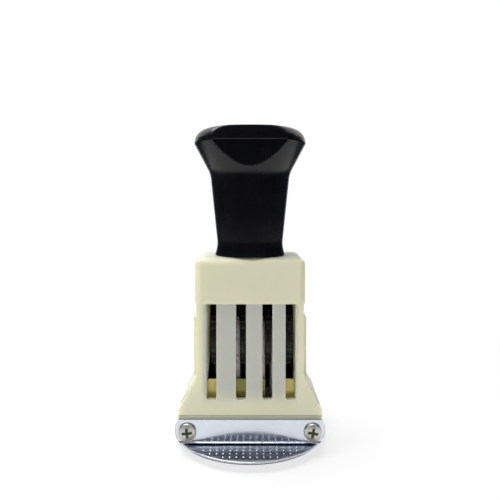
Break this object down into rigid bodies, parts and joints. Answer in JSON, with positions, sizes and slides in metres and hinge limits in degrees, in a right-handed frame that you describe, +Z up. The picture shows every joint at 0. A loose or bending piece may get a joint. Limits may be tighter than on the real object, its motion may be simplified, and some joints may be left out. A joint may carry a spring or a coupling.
{
  "type": "date stamp",
  "caption": "Hand date stamp: a moulded case with slotted front and thumb-wheel type bands stands on a sheet bracket over a round die plate with a date window, under a flared black handle",
  "frame": {"origin": "Centre of the round plate, at the level of the type faces that the stamp rests on", "axes": "+Z up the handle, -Y to the slotted front, +X to the right seen from the front"},
  "size_m": [0.05, 0.05, 0.1017],
  "materials": {
    "plated_steel": "bright zinc plating",
    "screw_steel": "plain plating",
    "ivory_plastic": "satin moulded",
    "black_plastic": "gloss moulded",
    "wheel_plastic": "satin moulded",
    "frame_brass": "yellow passivated sheet",
    "platen_plastic": "satin moulded",
    "band_rubber": "matte, moulded type"
  },
  "bodies": {
    "stamp": {"stamp_plate": "plated_steel", "plate_rivets": "plated_steel", "bracket": "plated_steel", "bracket_screws": "screw_steel", "front_shell": "ivory_plastic", "back_shell": "ivory_plastic", "shell_screws": "screw_steel", "handle": "black_plastic", "handle_insert": "frame_brass", "handle_bolt": "screw_steel", "handle_washer": "screw_steel", "band_frame": "frame_brass", "type_platen": "platen_plastic", "platen_pins": "screw_steel", "wheel_axle": "screw_steel", "axle_clips": "screw_steel", "year_band": "band_rubber", "month_band": "band_rubber", "day_tens_band": "band_rubber", "day_units_band": "band_rubber"},
    "year_wheel": {"year_wheel": "wheel_plastic"},
    "month_wheel": {"month_wheel": "wheel_plastic"},
    "day_tens_wheel": {"day_tens_wheel": "wheel_plastic"},
    "day_units_wheel": {"day_units_wheel": "wheel_plastic"}
  },
  "joints": [
    {"name": "year_spin", "type": "hinge", "parent": "stamp", "child": "year_wheel", "pos_m": [0, -0.0035, 0.034], "axis": [1, 0, 0], "continuous": true},
    {"name": "month_spin", "type": "hinge", "parent": "stamp", "child": "month_wheel", "pos_m": [0, -0.0035, 0.034], "axis": [1, 0, 0], "continuous": true},
    {"name": "day_tens_spin", "type": "hinge", "parent": "stamp", "child": "day_tens_wheel", "pos_m": [0, -0.0035, 0.034], "axis": [1, 0, 0], "continuous": true},
    {"name": "day_units_spin", "type": "hinge", "parent": "stamp", "child": "day_units_wheel", "pos_m": [0, -0.0035, 0.034], "axis": [1, 0, 0], "continuous": true}
  ]
}
